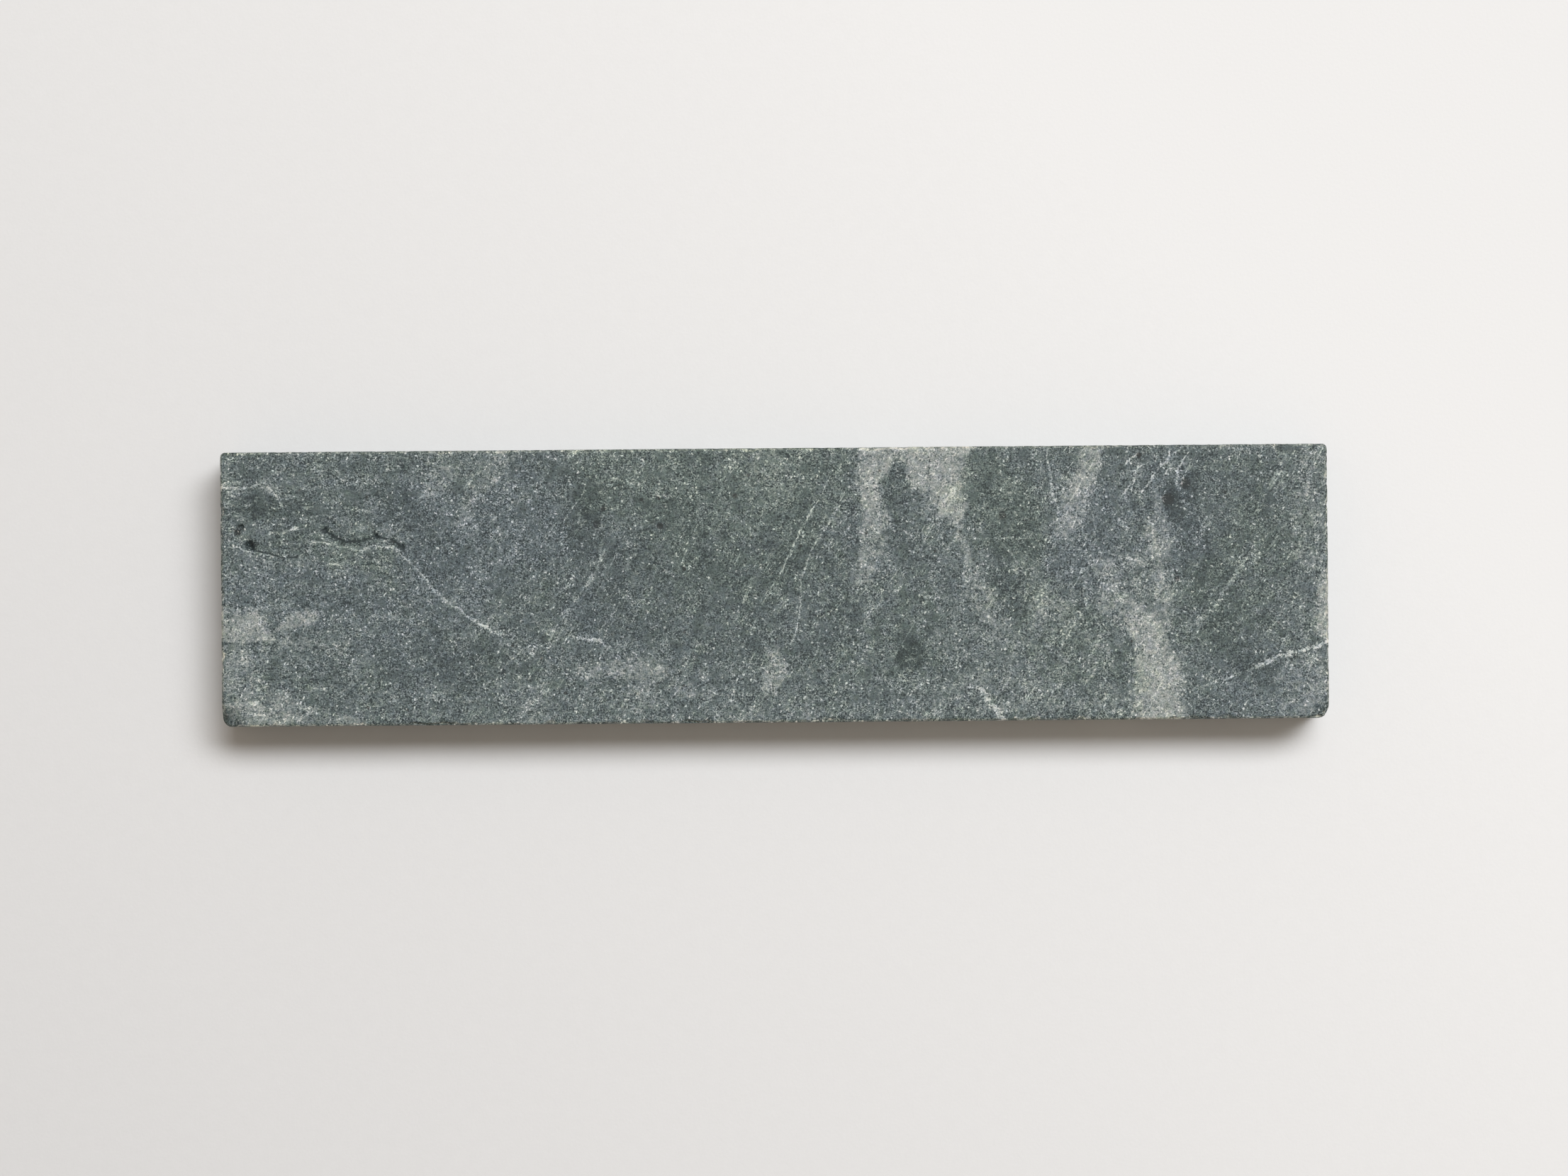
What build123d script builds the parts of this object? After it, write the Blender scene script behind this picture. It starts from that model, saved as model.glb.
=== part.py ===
from build123d import *
import os

# A bare bench whetstone: one slab of natural stone, sawn square and lapped flat.
# The origin is the middle of the resting face. +X runs along the length, +Y across
# the width and +Z up through the sharpening face.

length = 200.0
width = 49.6
thickness = 12.0

# The four plan corners are rubbed round by hand, so each has its own radius.
left_back_radius = 0.8
right_back_radius = 1.0
left_front_radius = 1.5
right_front_radius = 2.0

# The arrises round both faces are eased, so that they can't cut a hand or a blade.
sharpening_arris = 0.6
resting_arris = 0.5

half_length = length / 2
half_width = width / 2
plan_corners = (
    ((-half_length, half_width, 0), left_back_radius),
    ((half_length, half_width, 0), right_back_radius),
    ((-half_length, -half_width, 0), left_front_radius),
    ((half_length, -half_width, 0), right_front_radius),
)

os.makedirs("parts", exist_ok=True)

with BuildPart() as whetstone:
    with BuildSketch() as outline:
        Rectangle(length, width)
        for corner, radius in plan_corners:
            fillet(outline.vertices().sort_by_distance(corner)[0], radius)
    extrude(amount=thickness)
    fillet(whetstone.faces().sort_by(Axis.Z)[-1].edges(), sharpening_arris)
    fillet(whetstone.faces().sort_by(Axis.Z)[0].edges(), resting_arris)
whetstone.part.label = "whetstone"
export_step(whetstone.part, "parts/whetstone.step")
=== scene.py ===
"""A bare bench whetstone of natural green-grey stone, lying on a pale surface."""

import math

import bpy
import numpy as np
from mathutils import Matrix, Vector, noise


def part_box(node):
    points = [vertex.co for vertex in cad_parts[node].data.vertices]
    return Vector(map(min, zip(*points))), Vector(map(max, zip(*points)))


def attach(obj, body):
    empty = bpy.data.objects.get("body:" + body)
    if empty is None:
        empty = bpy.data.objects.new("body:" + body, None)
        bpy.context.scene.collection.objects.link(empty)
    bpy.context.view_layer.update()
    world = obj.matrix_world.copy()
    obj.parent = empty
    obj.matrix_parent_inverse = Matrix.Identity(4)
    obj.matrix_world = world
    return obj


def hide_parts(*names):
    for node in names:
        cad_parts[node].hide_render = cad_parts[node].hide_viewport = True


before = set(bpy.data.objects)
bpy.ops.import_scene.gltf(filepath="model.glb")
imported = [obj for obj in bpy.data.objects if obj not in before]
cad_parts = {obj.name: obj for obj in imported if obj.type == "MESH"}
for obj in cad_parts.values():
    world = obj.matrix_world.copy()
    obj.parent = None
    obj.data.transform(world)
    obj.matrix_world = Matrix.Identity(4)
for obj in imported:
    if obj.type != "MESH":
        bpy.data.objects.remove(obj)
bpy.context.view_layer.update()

# Places on the stone are in millimetres from the middle of its resting face:
# +X along the length, +Y across the width towards the back, +Z up.
MM = 0.001
low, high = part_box("whetstone")
HALF_LENGTH = (high.x - low.x) / 2 / MM
HALF_WIDTH = (high.y - low.y) / 2 / MM
TOP = high.z / MM


# ---------------------------------------------------------------- shader nodes

class Nodes:
    """Adds nodes to one node tree and wires them. A value given for an input is a socket or a constant."""

    def __init__(self, tree):
        self.tree = tree
        tree.nodes.clear()

    def add(self, kind, inputs=(), **settings):
        node = self.tree.nodes.new(kind)
        for name, value in settings.items():
            setattr(node, name, value)
        for name, value in dict(inputs).items():
            self.put(node.inputs[name], value)
        return node

    def put(self, socket, value):
        if isinstance(value, bpy.types.NodeSocket):
            self.tree.links.new(value, socket)
        else:
            socket.default_value = value

    def math(self, operation, *values):
        return self.add("ShaderNodeMath", dict(enumerate(values)), operation=operation).outputs[0]

    def vector(self, operation, *values):
        return self.add("ShaderNodeVectorMath", dict(enumerate(values)), operation=operation).outputs[0]

    def measure(self, operation, *values):
        """What a vector operation gives as one number, such as a length."""
        return self.add("ShaderNodeVectorMath", dict(enumerate(values)), operation=operation).outputs["Value"]

    def scale(self, vector, factor):
        return self.add("ShaderNodeVectorMath", {0: vector, "Scale": factor}, operation="SCALE").outputs[0]

    def added(self, total, value, gain):
        return self.math("MULTIPLY_ADD", value, gain, total)

    def product(self, first, second):
        return self.math("MULTIPLY", first, second)

    def ramp(self, value, start, end, low_value=0.0, high_value=1.0, smooth=True):
        """value from start to end becomes low_value to high_value, held outside."""
        inputs = {"Value": value, "From Min": start, "From Max": end}
        inputs |= {"To Min": low_value, "To Max": high_value}
        kind = "SMOOTHSTEP" if smooth else "LINEAR"
        return self.add("ShaderNodeMapRange", inputs, interpolation_type=kind).outputs[0]

    def noise(self, place, scale, detail=2.0, roughness=0.5):
        """The noise's node: its first output is one number, and its Color is three."""
        inputs = {"Vector": place, "Scale": scale, "Detail": detail, "Roughness": roughness}
        return self.add("ShaderNodeTexNoise", inputs)

    def sway(self, place, scale, detail=1.0, roughness=0.5):
        """Noise about zero, with the scale in bumps per millimetre."""
        return self.math("SUBTRACT", self.noise(place, scale, detail, roughness).outputs[0], 0.5)

    def jitter(self, place, scale, detail, roughness):
        """Three noises about zero, as a vector."""
        jitter = self.noise(place, scale, detail, roughness).outputs["Color"]
        return self.vector("SUBTRACT", jitter, (0.5, 0.5, 0.5))

    def mix_colour(self, share, first, second, blend="MIX"):
        inputs = {0: share, 6: first, 7: second}
        return self.add("ShaderNodeMix", inputs, data_type="RGBA", blend_type=blend).outputs[2]


def colour(red, green, blue):
    """A linear colour from the 0 to 255 values of a screen."""
    def linear(level):
        share = level / 255
        return share / 12.92 if share <= 0.04045 else ((share + 0.055) / 1.055) ** 2.4
    return (linear(red), linear(green), linear(blue), 1.0)


# ---------------------------------------------------------------- camera and stage

VIEW_WIDTH = 283.1 * MM        # what the picture takes in, at the height of the sharpening face
LENS = 85.0
SENSOR = 36.0
VIEW_CENTRE = (1.7 * MM, -0.5 * MM)
VIEW_ROLL = math.radians(-0.48)
NEAREST_SEEN = 0.01
FARTHEST_SEEN = 20.0


def add_camera():
    """A long lens looking straight down on the stone."""
    data = bpy.data.cameras.new("camera")
    data.lens = LENS
    data.sensor_width = SENSOR
    data.clip_start = NEAREST_SEEN
    data.clip_end = FARTHEST_SEEN
    camera = bpy.data.objects.new("camera", data)
    camera.location = (*VIEW_CENTRE, high.z + VIEW_WIDTH * LENS / SENSOR)
    camera.rotation_euler = (0, 0, VIEW_ROLL)
    bpy.context.scene.collection.objects.link(camera)
    bpy.context.scene.camera = camera


# The key light is a wide soft strip above the far side. Each lamp is a soft sun, so that the
# floor stays evenly lit however far it is seen. Slopes are sideways run over height.
STRIP_SLOPES_X = (0.08, 0.24, 0.40, 0.55, 0.70)
STRIP_SLOPE_Y = 0.52
STRIP_SOFTNESS = math.radians(22)
STRIP_POWER = 2.9
KEY_COLOUR = (0.925, 0.95, 0.985)


def add_lights():
    """Soft studio light from the far right."""
    for number, slope_x in enumerate(STRIP_SLOPES_X):
        data = bpy.data.lights.new(f"strip_{number}", "SUN")
        data.energy = STRIP_POWER / len(STRIP_SLOPES_X)
        data.angle = STRIP_SOFTNESS
        data.color = KEY_COLOUR
        lamp = bpy.data.objects.new(f"strip_{number}", data)
        towards = Vector((slope_x, STRIP_SLOPE_Y, 1.0))
        lamp.rotation_euler = towards.to_track_quat("Z", "Y").to_euler()
        bpy.context.scene.collection.objects.link(lamp)


FILL_COLOUR = (1.0, 0.88, 0.75, 1)
FILL_STRENGTH = 0.31
BACKDROP = colour(232, 231, 229)


def set_world():
    """A warm even fill. Seen directly it is as pale as the floor."""
    world = bpy.data.worlds.new("studio")
    world.use_nodes = True
    bpy.context.scene.world = world
    nodes = Nodes(world.node_tree)
    seen = nodes.add("ShaderNodeLightPath").outputs["Is Camera Ray"]
    fill = nodes.add("ShaderNodeBackground", {"Color": FILL_COLOUR, "Strength": FILL_STRENGTH})
    backdrop = nodes.add("ShaderNodeBackground", {"Color": BACKDROP, "Strength": 1.0})
    shown = nodes.add("ShaderNodeMixShader", {0: seen, 1: fill.outputs[0], 2: backdrop.outputs[0]})
    nodes.add("ShaderNodeOutputWorld", {"Surface": shown.outputs[0]})


FLOOR_REACH = 12.0              # half the sheet's side, in metres
# The board's colour where it is lit most, and in the painted shade that darkens it to the front left as the
# light falls off.
FLOOR_BRIGHT = colour(240.5, 240, 239)
FLOOR_IN_PAINTED_SHADE = colour(210.5, 209.5, 208.5)
PAINTED_SHADE_SLOPE = (-2.2e-3, -2.1e-3)    # per millimetre along X and Y: painted shade that darkens it to the left and the front
PAINTED_SHADE_AT_STONE = 0.29
MOTTLE = 0.16                   # how much the board's tone wanders, as mottling over the painted shade
FLOOR_FADE = (250, 1100)        # where it turns into the backdrop's tone, in millimetres from the stone
TOOTH_DEPTH = 0.02 * MM


def add_floor():
    """A large sheet of pale board with a faint paper tooth."""
    mesh = bpy.data.meshes.new("floor")
    r = FLOOR_REACH
    mesh.from_pydata([(-r, -r, 0), (r, -r, 0), (r, r, 0), (-r, r, 0)], [], [(0, 1, 2, 3)])
    floor = bpy.data.objects.new("floor", mesh)
    bpy.context.scene.collection.objects.link(floor)
    mesh.materials.append(floor_material())


def floor_material():
    """Matt board with painted shade that darkens it to the front left, and far away takes on the backdrop's
    tone.
    """
    material = bpy.data.materials.new("pale_board")
    material.use_nodes = True
    nodes = Nodes(material.node_tree)
    place = nodes.scale(nodes.add("ShaderNodeTexCoord").outputs["Object"], 1 / MM)
    # painted shade: the board is coloured darker to the front left, with its mottling
    painted_shade = nodes.math("ADD", nodes.measure("DOT_PRODUCT", place, (*PAINTED_SHADE_SLOPE, 0)), PAINTED_SHADE_AT_STONE)
    painted_shade = nodes.added(painted_shade, nodes.sway(place, 0.4, 6.0, 0.7), MOTTLE)
    tone = nodes.mix_colour(nodes.ramp(painted_shade, 0, 1, smooth=False), FLOOR_BRIGHT, FLOOR_IN_PAINTED_SHADE)
    tone = nodes.mix_colour(nodes.ramp(nodes.measure("LENGTH", place), *FLOOR_FADE), tone, BACKDROP)
    tooth = nodes.noise(place, 1.6, 3.0).outputs[0]
    bump = nodes.add("ShaderNodeBump", {"Height": tooth, "Distance": TOOTH_DEPTH, "Strength": 1.0})
    look = {"Base Color": tone, "Normal": bump.outputs[0], "Roughness": 0.9, "Specular IOR Level": 0.2}
    shader = nodes.add("ShaderNodeBsdfPrincipled", look)
    nodes.add("ShaderNodeOutputMaterial", {"Surface": shader.outputs[0]})
    return material


# ---------------------------------------------------------------- the stone's figure
# What nature drew in the stone, placed on the sharpening face.

# Pale clouds, where quartz is crowded together: lines of (x, y, radius), and a strength.
# Each line in turn covers its strength's share of what is still bare.
CLOUDS = (
    # the arch behind the middle: its bright top, then its right leg and its left leg
    (((18, 25.5, 2.2), (24, 25.0, 2.4), (28.8, 22.5, 4.0), (30.4, 19.0, 3.6), (31.4, 15.5, 2.8),
      (32.4, 11.8, 1.2)), 1.0),
    (((30, 25.0, 2.6), (34, 24.5, 1.6)), 0.8),
    (((32.8, 24.5, 1.3), (33.0, 19.0, 1.2), (33.2, 14.0, 1.0), (33.4, 10.5, 0.7)), 0.7),
    (((19.5, 23.5, 2.0), (18.4, 20.0, 1.8)), 0.7),
    (((25.6, 22.5, 2.2), (26.4, 19.0, 1.6)), 0.75),
    (((33.5, 9.0, 0.9), (35, 4.5, 1.1), (35.8, 1.5, 1.6), (37.5, -2.0, 2.5), (38.5, -5.5, 1.8)), 0.5),
    (((21, 24.5, 2.4), (18.0, 22.0, 2.2), (17.0, 18.0, 2.0), (17.6, 15.0, 1.8)), 0.85),
    (((17.4, 15.0, 1.8), (18.2, 11.0, 2.2), (17.2, 6.0, 2.0), (15.6, 1.5, 2.0)), 0.62),
    (((25.6, 14.0, 2.2), (25.6, 9.0, 2.4)), 0.22),
    # the patch and the ridge that winds away from it, right of the arch
    (((57, 24.5, 2.0), (56.4, 19.5, 2.0), (54.6, 15.0, 2.2), (52.8, 10.5, 2.2)), 0.72),
    (((58.5, 3.6, 1.6), (60.0, 1.0, 1.8), (60.0, -2.5, 1.6), (62.5, -5.5, 2.0), (65, -7.5, 2.2)), 0.5),
    (((65.5, -7.5, 2.0), (68.2, -12, 2.8), (69.2, -16, 3.9), (69.2, -20, 4.3), (69, -24.5, 4.4)), 1.0),
    (((70.5, -17.0, 2.0), (69.8, -24.5, 2.4)), 0.8),
    (((69.5, 15, 1.3), (69.3, 9, 2.0), (69.8, 3, 1.6), (70.2, -3, 1.7), (69.5, -7, 1.8)), 0.6),
    (((62, 4.0, 2.5), (65.5, 2.0, 3.0), (65.5, -2.5, 3.0)), 0.36),
    (((61, -22.0, 3.5), (57, -23.5, 3.0)), 0.3),
    # the right end
    (((99.8, 0.5, 1.2), (99.2, -4.0, 1.8), (99.6, -8.5, 1.6)), 0.9),
    (((97, -22, 4.4), (95, -19.5, 5.0), (98.5, -13.5, 3.2)), 0.36),
    (((95.8, -22.2, 1.3), (98.4, -19.6, 1.5)), 0.55),
    (((98, 20, 3.8), (97, 12, 3.2), (96.5, 5, 3.0)), 0.42),
    # the left end
    (((-99.5, -3.4, 0.8), (-96.5, -4.4, 1.0), (-93.5, -4.8, 0.8)), 0.5),
    (((-98.5, -7.2, 1.4), (-95.5, -7.4, 2.0), (-92.8, -7.6, 1.6), (-90.5, -8.4, 0.8)), 1.0),
    (((-99.5, -5.8, 2.0), (-94.0, -6.4, 2.4)), 0.5),
    (((-94, 4.5, 2.6), (-86, 3.8, 2.4), (-76, 4.5, 3.0), (-68, 9.0, 3.0)), 0.2),
    (((-88.6, -6.8, 1.0), (-86.6, -5.4, 1.3), (-83.5, -4.6, 1.0)), 0.85),
    (((-91, -9.3, 0.9), (-86, -9.8, 1.1), (-80, -10.8, 1.0), (-77, -10.4, 0.8)), 0.4),
    (((-99, -11, 3.0), (-97.0, -16, 3.4), (-95, -21, 4.4), (-90, -22, 3.4)), 0.5),
    (((-93, -23.5, 3.0), (-86, -23.8, 2.6), (-76, -24.4, 2.0)), 0.4),
    # behind the left half
    (((-61.0, 24.5, 2.4), (-59.5, 20.5, 2.4), (-62.0, 16.5, 1.4)), 0.4),
    (((-49, 24.0, 2.6), (-53, 18.0, 2.0), (-56.5, 12.0, 1.6)), 0.38),
    (((-100, 17.5, 1.5), (-95.5, 18.1, 1.2), (-92.0, 19.2, 1.0), (-89.5, 17.0, 1.0)), 0.45),
    # in front of the middle
    (((-34, -15.0, 1.4), (-29.5, -14.8, 1.6), (-24.5, -14.2, 1.5), (-20, -15.2, 1.1)), 0.6),
    (((-24.5, -16.5, 2.6), (-23.5, -20.0, 2.6), (-25.5, -24.5, 3.0)), 0.4),
    (((-44, -20.0, 3.5), (-41.5, -24.5, 3.5)), 0.3),
    (((-20.5, -15.6, 0.9), (-16.5, -18.5, 1.2), (-12, -20.0, 1.0)), 0.42),
    (((-1.2, -12.2, 1.6), (0.2, -14.6, 1.9), (-1.0, -17.5, 1.8)), 0.6),
    (((3.0, -4.0, 2.0), (0.5, -7.0, 2.0)), 0.2),
    (((30.5, -10.5, 2.6), (40, -11.5, 5.5), (52, -10.0, 6.5), (57, -15.0, 5.0)), 0.28),
    (((41, 20, 2.4), (42, 15, 3.2), (42.5, 10, 2.6)), 0.24),
    (((45, 2.5, 2.2), (46.5, -2.0, 2.6), (52, -5.0, 3.0)), 0.28),
    (((29.5, 1.5, 2.2), (33, -4.0, 2.8)), 0.22),
    (((26, -22.0, 3.0), (37, -19.5, 4.0), (47, -22.0, 4.0)), 0.3),
    (((8, -23.0, 3.0), (4, -22.0, 2.6), (-8, -23.0, 2.6)), 0.3),
    (((-4, 23.5, 4.0), (1, 20.0, 3.6)), 0.34),
)

# Dark places, where the pale grains thin out, and painted shade on the two front corners: the same form.
SHADES = (
    (((22.0, 18.0, 1.8), (22.4, 12.0, 1.6)), 0.3),
    (((-6.0, -9.5, 2.2), (-4.0, -12.0, 1.4)), 0.45),
    (((-70.0, -15.0, 2.6), (-64.0, -15.0, 2.6)), 0.3),
    (((88.5, 20.0, 2.6), (89.0, 14.0, 2.4)), 0.4),
    (((22.4, -10.4, 0.9), (25.2, -9.8, 0.9), (26.0, -12.2, 1.1), (22.6, -12.4, 1.2), (23.2, -14.6, 1.0),
      (25.4, -14.4, 0.9)), 1.0),
    (((39.0, 19.0, 2.6), (44, 12.0, 3.2), (43, 6.5, 4.2)), 0.4),
    (((5.0, 11.5, 2.4), (6.0, 7.0, 2.0)), 0.4),
    (((-31.0, -6.5, 3.0), (-22.0, -7.0, 3.0)), 0.35),
    (((42, -0.5, 3.4), (43.5, -4.0, 2.6)), 0.55),
    (((71.6, 16.0, 1.2), (72.6, 13.4, 1.2), (74.5, 11.0, 1.4)), 1.0),
    (((75.5, 18.0, 1.6), (76.0, 15.0, 1.2)), 0.7),
    (((77, 5.0, 3.4), (79, -2.5, 3.6), (84, -9.0, 4.4), (84, -12.5, 4.0)), 0.4),
    (((78, 20.0, 4.0), (84, 12.0, 5.0), (88, 9.0, 3.0)), 0.25),
    (((-95.5, 15.5, 2.0), (-91.5, 15.0, 2.2), (-85.5, 15.0, 1.8)), 0.75),
    (((-88.0, 0.5, 2.0), (-80.0, -1.5, 2.0), (-70.0, -2.0, 1.8)), 0.15),
    (((84, -14.0, 2.4), (90, -17.5, 2.6)), 0.35),
    (((-68.5, 16.5, 2.4), (-66.0, 12.0, 2.2)), 0.5),
    (((-61.0, 8.0, 4.0), (-60.0, 3.0, 3.0)), 0.35),
    (((-62.0, -10.5, 3.0), (-57.0, -13.5, 4.0), (-52.0, -13.0, 3.0)), 0.5),
    (((-35.0, 12.0, 3.0), (-32.5, 6.5, 3.6), (-29.0, 0.5, 3.6)), 0.62),
    (((-34.0, 18.0, 2.0), (-33.5, 13.5, 2.4)), 0.65),
    (((-22.0, 5.0, 4.0), (-14.0, 0.0, 4.0), (-5.0, -3.0, 4.5)), 0.4),
    (((-18.0, 12.0, 4.0), (-10.0, 6.0, 4.0)), 0.35),
    (((0.0, 5.0, 3.6), (3.0, 1.0, 3.0)), 0.5),
    (((10.0, 2.5, 3.0), (12.5, -6.5, 2.6), (6.0, -13.0, 3.2)), 0.32),
    (((-40.0, 3.0, 4.0), (-42.0, -3.0, 4.0)), 0.2),
    # Painted shade on the dubbed front corners, which face away from the light.
    (((-99.6, -24.4, 2.6), (-96.6, -25.0, 1.4), (-92.0, -25.2, 0.7)), 1.0),
    (((97.5, -25.0, 0.9), (99.6, -23.0, 0.9)), 0.8),
)

# Where the stone leans to green, and where to blue.
GREENS = (
    (((-28, 19, 7.0), (-12, 19, 8.0), (4, 19, 8.0)), 0.9),
    (((-12, 8, 8.0), (0, 6, 8.0)), 0.5),
    (((38, 18, 5.0), (44, 10, 6.0)), 1.0),
    (((28, -8, 6.0), (16, -14, 5.0)), 0.4),
    (((48, -6, 6.0), (60, -16, 6.0)), 0.5),
    (((78, -6, 6.0), (90, 8, 6.0)), 0.6),
    (((-85, 9, 3.0), (-70, 6, 3.0)), 0.5),
)
BLUES = (
    (((-64, 14, 6.0), (-58, 4, 8.0), (-46, 12, 7.0)), 1.0),
    (((-94, 0, 5.0), (-78, -2, 5.0), (-62, -12, 6.0)), 0.6),
    (((-34, 8, 6.0), (-30, -8, 6.0)), 0.5),
    (((54, 10, 5.0), (60, 14, 5.0), (56, 3, 5.0)), 0.9),
    (((72, 18, 4.0), (74, 8, 4.0)), 0.8),
    (((95, -20, 6.0), (84, -20, 6.0)), 0.5),
)

# Hairline veins, in sets whose lines stay clear of each other: points, half width in
# millimetres and strength. A strength below zero is a dark crack, which along the fissures is also painted
# shadow under their ledges.
VEINS = (
    (
        (((-84.5, 8.6), (-83.7, 8.6), (-82.2, 8.4), (-81.1, 8.3), (-80.1, 8.0), (-78.8, 7.8), (-77.6, 7.6),
          (-76.0, 7.2), (-74.5, 7.0), (-73.5, 7.5), (-72.4, 8.0), (-71.2, 7.7), (-70.1, 7.5), (-69.0, 7.8),
          (-68.3, 7.2), (-67.8, 6.4), (-67.1, 5.7), (-66.3, 5.1), (-65.6, 4.3), (-64.8, 3.8)), 0.2, 0.75),
        (((-64.8, 3.8), (-63.0, 1.8), (-61.3, -0.5), (-59.3, -2.5), (-57.2, -4.1)), 0.24, 0.7),
        (((-101, -9.4), (-96, -9.8), (-90, -10.1), (-85, -10.3), (-80, -10.5), (-75, -10.6)), 0.24, -0.4),
        (((-60.4, -1.4), (-58.5, -3.2), (-56.6, -4.4), (-54.5, -5.8), (-52.1, -7.3), (-50.6, -8.1),
          (-48.6, -8.6)), 0.28, 0.95),
        (((-37.0, -8.7), (-35.5, -9.4), (-33.9, -9.6), (-32.0, -9.5), (-30.5, -10.8)), 0.26, 1.0),
        (((-38.4, 10.4), (-37.6, 12.7), (-36.2, 14.7), (-34.6, 16.2), (-33.8, 18.6)), 0.15, 0.7),
        (((9.6, 18.5), (7.1, 14.0), (4.4, 8.9), (2.4, 4.9), (0.7, 1.5)), 0.15, 0.9),
        (((19.8, -2.3), (17.2, -5.3), (15.8, -6.6)), 0.13, 0.6),
        (((76.5, -18.9), (78.9, -18.4), (83.1, -16.9), (86.4, -15.7)), 0.24, 0.6),
        (((85.2, -16.2), (87.1, -15.4), (90.6, -13.6), (94.5, -12.6), (98.1, -11.9), (101, -10.0)),
         0.4, 1.1),
        (((34.6, -18.4), (35.5, -18.8), (37.4, -19.2), (38.5, -21.2)), 0.3, 0.8),
        (((37.2, -19.0), (38.5, -21.2), (40.1, -23.2), (42.0, -25.5)), 0.55, 0.9),
        (((71.6, 24.2), (71.3, 22.8), (70.8, 21.5), (69.8, 21.1), (68.1, 18.4), (65.9, 15.3)), 0.22, 1.1),
        (((-76.6, 14.2), (-75.8, 14.6), (-74.2, 13.9), (-72.6, 13.9)), 0.15, 0.6),
    ),
    (
        (((-32.1, -8.9), (-31.0, -7.0), (-28.9, -4.6), (-27.7, -2.3)), 0.14, 0.6),
        (((13.4, 15.8), (11.1, 13.2), (9.9, 11.1), (7.4, 7.7), (6.2, 4.9), (4.7, 1.4), (4.7, -2.5),
          (4.0, -7.6), (2.3, -12.2)), 0.15, 0.8),
        (((25.0, -7.4), (23.4, -9.7), (22.0, -12.4)), 0.13, 0.5),
        (((74.6, -8.6), (76.9, -6.6), (79.4, -4.7), (80.5, -2.8), (82.9, 0.8), (84.9, 3.8), (87.3, 5.9)),
         0.3, 0.5),
        (((60.3, 5.2), (63.5, 4.6), (66.5, 3.5)), 0.16, 0.6),
        (((75.4, 24.0), (74.5, 22.9), (73.7, 21.7), (72.7, 20.4), (72.9, 19.0), (72.7, 17.0)), 0.19, 0.9),
        (((67.2, 21.7), (65.6, 20.3), (65.1, 18.3), (64.2, 15.8)), 0.22, 0.7),
        (((49.4, 25.0), (49.9, 20.0), (50.4, 16.0), (51.4, 12.5)), 0.22, 0.6),
        (((-101, 18.2), (-95.5, 18.4), (-92.0, 19.2), (-90.0, 17.4), (-88.5, 14.2)), 0.22, 0.8),
        (((-13.9, 15.3), (-15.4, 13.0), (-16.6, 10.6)), 0.12, -0.35),
        (((-91.4, 9.9), (-90.1, 10.2), (-89.1, 9.8), (-88.3, 10.4), (-87.5, 10.8), (-86.7, 11.2),
          (-85.8, 11.3)), 0.2, 1.0),
        (((-98.9, 7.6), (-96.9, 7.5), (-95.8, 7.0), (-93.9, 6.6), (-91.0, 6.2), (-90.3, 5.6)), 0.18, 0.7),
        (((-85.8, 5.9), (-84.7, 6.7), (-83.7, 7.3), (-82.2, 8.2)), 0.15, 0.6),
    ),
    (
        (((-37.6, -4.7), (-35.9, -2.1), (-33.8, 0.6), (-32.2, 2.8), (-31.6, 4.9), (-31.4, 6.5)), 0.11, 0.5),
        (((-23.2, 22.4), (-25.2, 20.1), (-26.4, 18.8)), 0.13, 0.6),
        (((8.1, -7.7), (7.5, -11.9), (6.9, -14.3)), 0.13, 0.5),
        (((35.3, 8.2), (46.2, 8.1)), 0.12, 0.4),
        (((35.8, 16.8), (41.7, 16.9)), 0.12, 0.4),
        (((45.2, 1.8), (41.6, 7.2)), 0.12, 0.5),
        (((65.7, 23.3), (64.7, 22.5), (63.2, 21.2)), 0.17, 0.8),
        (((75.5, 21.8), (74.3, 19.7), (73.7, 18.6), (73.6, 17.3)), 0.17, 0.8),
        (((64.5, 17.8), (63.1, 16.0), (62.3, 15.2)), 0.16, 0.8),
        (((73.5, 24.4), (72.8, 23.6), (71.9, 23.1)), 0.16, 0.8),
        (((69.1, 24.0), (68.9, 21.7)), 0.15, 0.7),
        # Dark crack along a fissure, darkened further as painted shadow under its ledge.
        (((-94.3, 7.8), (-93.7, 7.1), (-92.4, 6.9), (-91.1, 6.5), (-89.9, 6.1), (-88.6, 5.8), (-86.8, 5.7),
          (-85.8, 5.9)), 0.17, -1.1),
        # Dark crack along a fissure, darkened further as painted shadow under its ledge.
        (((-81.9, 10.8), (-81.0, 10.6), (-80.2, 10.0), (-79.3, 9.4), (-78.3, 9.0), (-77.3, 8.6), (-76.3, 8.5),
          (-75.0, 8.5), (-74.2, 8.7), (-72.9, 9.0), (-71.9, 9.6), (-71.1, 9.4), (-70.4, 9.1), (-69.1, 9.0),
          (-68.3, 8.4), (-67.6, 7.9), (-67.1, 7.2), (-66.8, 6.4)), 0.19, -1.15),
        (((-84.7, 12.5), (-83.4, 12.9), (-82.1, 13.2), (-80.6, 13.3), (-78.8, 12.8)), 0.14, 0.5),
        (((-99.9, 14.9), (-97.7, 15.2), (-96.2, 15.1), (-94.9, 15.3)), 0.16, 0.5),
    ),
)

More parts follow.
